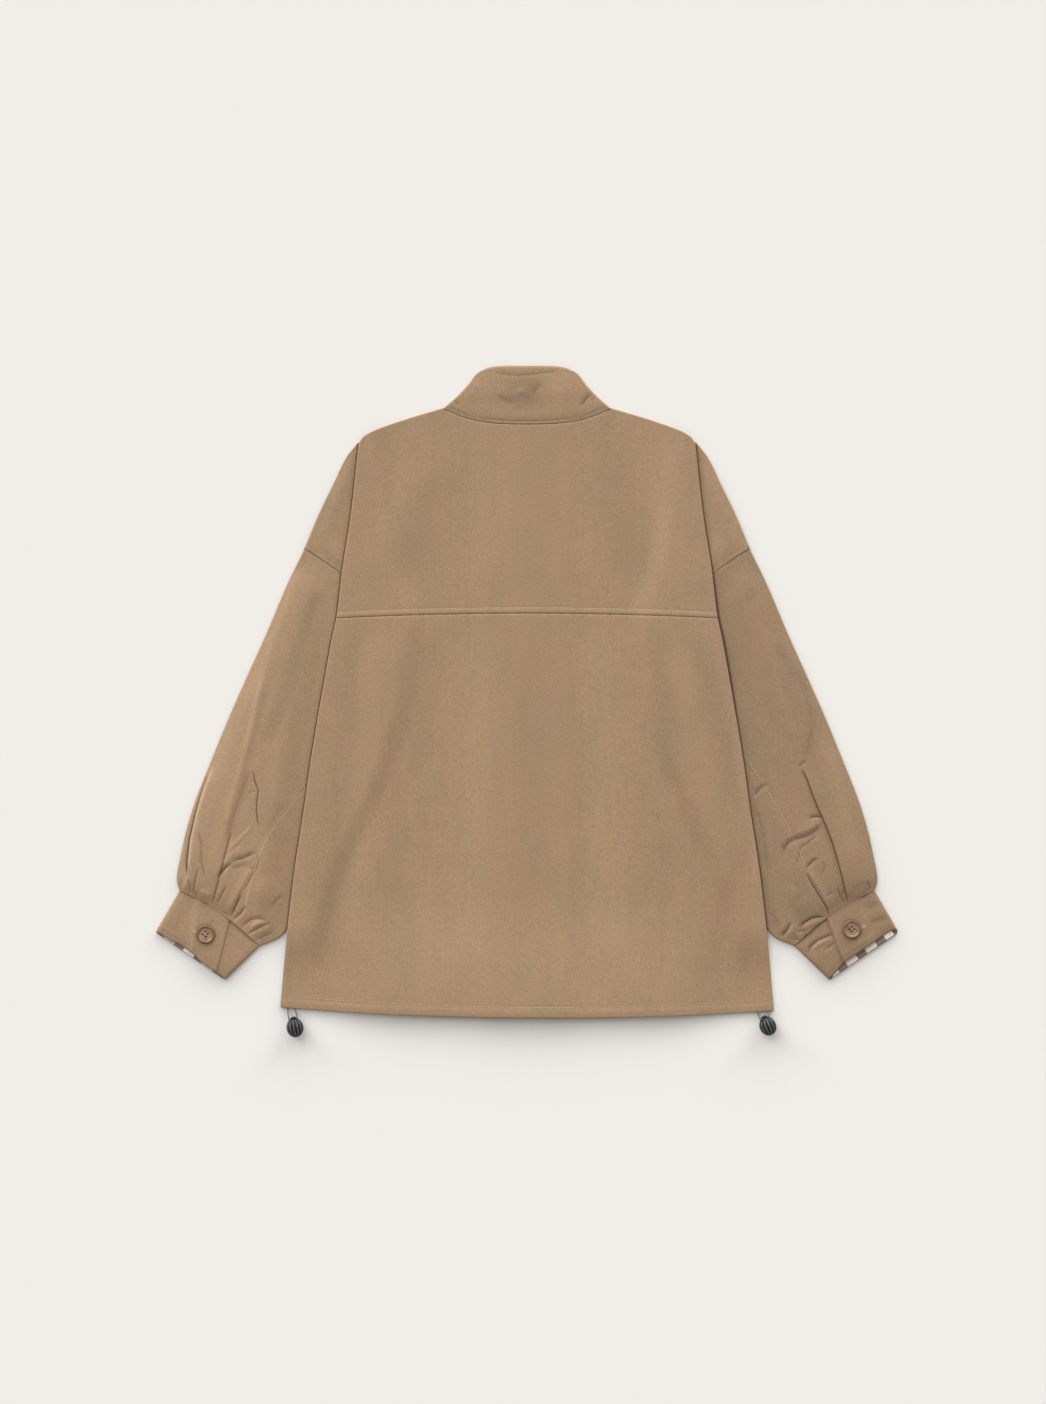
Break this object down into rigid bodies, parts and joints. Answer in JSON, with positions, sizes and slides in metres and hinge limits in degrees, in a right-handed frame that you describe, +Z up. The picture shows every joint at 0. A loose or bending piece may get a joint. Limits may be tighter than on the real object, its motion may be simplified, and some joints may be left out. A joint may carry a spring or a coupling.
{
  "type": "raincoat",
  "caption": "Short tan rain jacket laid flat on its front, with back yoke, stand collar, long sleeves with buttoned cuffs, and elastic hem cords held in black cord locks",
  "frame": {"origin": "centre of the footprint, without the hem cords and their locks, on the surface that the garment lies on", "axes": "+Z up from the surface, out of the garment's back, towards the viewer of the picture; +Y from the hem to the collar; +X across, to the wearer's right sleeve, which is the picture's right"},
  "size_m": [0.8892, 0.8047, 0.0193],
  "materials": {
    "shell": "tan tightly woven proofed cotton and nylon, low sheen",
    "cuff_check": null,
    "button_horn": "brown mottled horn look, satin",
    "elastic_cord": "braided grey-olive elastic",
    "moulded_black": "glossy black moulding"
  },
  "bodies": {
    "root": {"back_yoke": "shell", "back_panel": "shell", "front_left": "shell", "front_right": "shell", "collar": "shell", "sleeve_top_left": "shell", "sleeve_top_right": "shell", "sleeve_under_left": "shell", "sleeve_under_right": "shell", "cuff_left": "shell", "cuff_right": "shell", "cuff_lining_left": "cuff_check", "cuff_lining_right": "cuff_check", "button_left": "button_horn", "button_right": "button_horn", "hem_cord_left": "elastic_cord", "hem_cord_right": "elastic_cord", "cord_lock_left": "moulded_black", "cord_lock_right": "moulded_black", "cord_lock_plunger_left": "moulded_black", "cord_lock_plunger_right": "moulded_black"}
  },
  "joints": []
}
